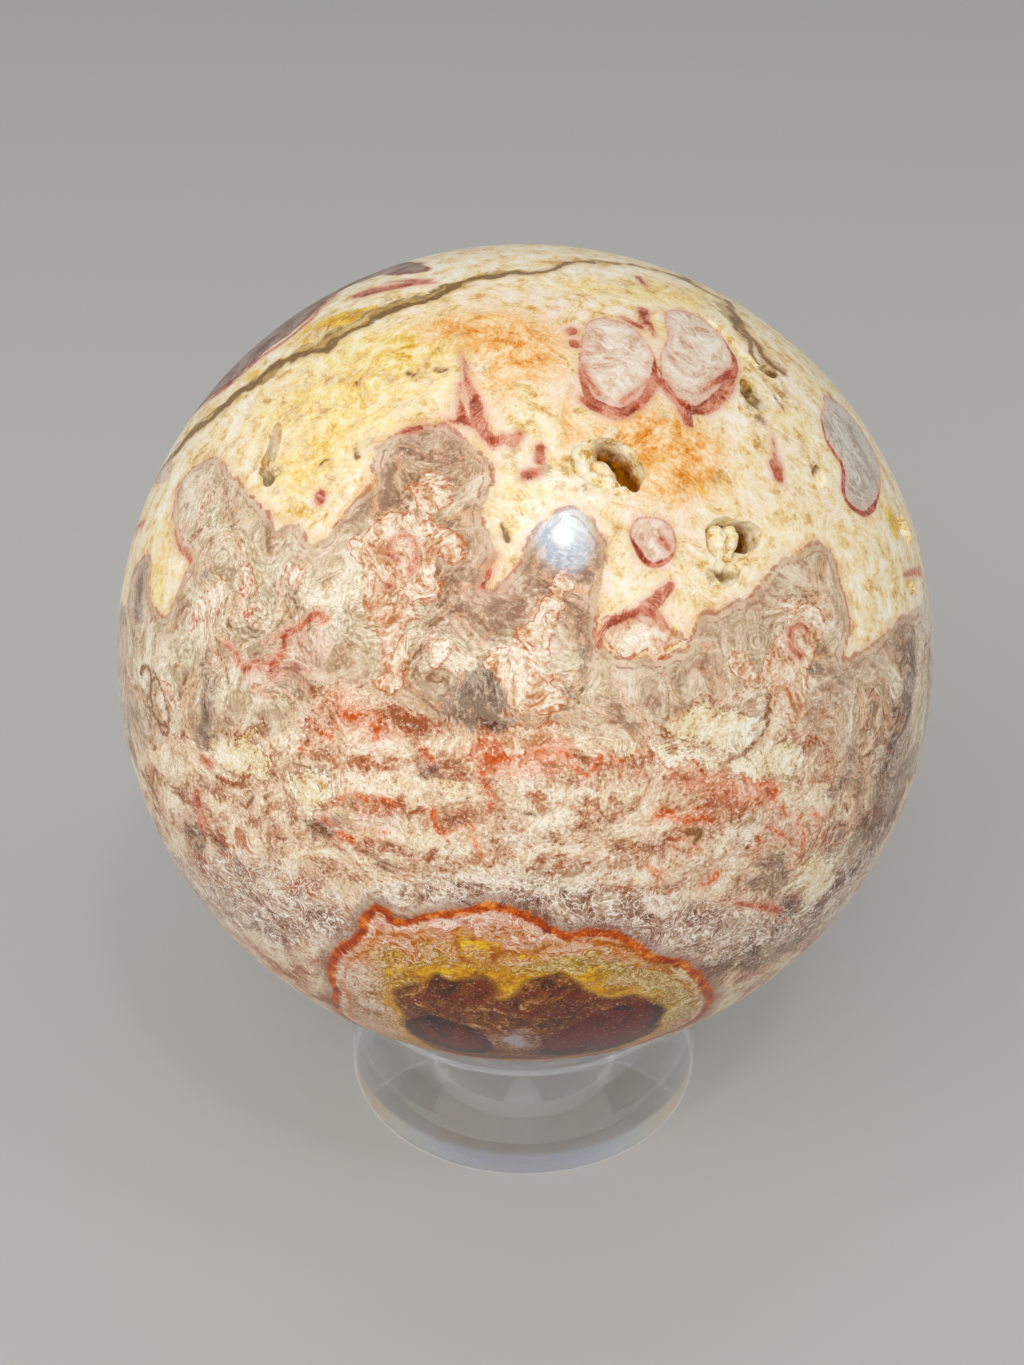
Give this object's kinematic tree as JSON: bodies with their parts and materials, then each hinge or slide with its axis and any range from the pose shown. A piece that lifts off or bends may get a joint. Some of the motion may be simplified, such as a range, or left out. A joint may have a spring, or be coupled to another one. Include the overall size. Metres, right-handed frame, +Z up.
{
  "type": "polished stone sphere on a clear ring stand",
  "caption": "Polished agate-like stone sphere with plume bands, an orange-rimmed medallion and open vugs, resting in the bevelled seat of a clear acrylic ring stand.",
  "frame": {"origin": "centre of the ring stand's underside, on the surface that it stands on", "axes": "+Z up along the ring's axis, which passes through the sphere's centre; the stone's picture face looks towards -Y and about 30 degrees up"},
  "size_m": [0.105, 0.105, 0.1216],
  "materials": {
    "patterned_stone": "polished",
    "clear_acrylic": "polished"
  },
  "bodies": {
    "root": {"stone_sphere": "patterned_stone", "ring_stand": "clear_acrylic"}
  },
  "joints": []
}
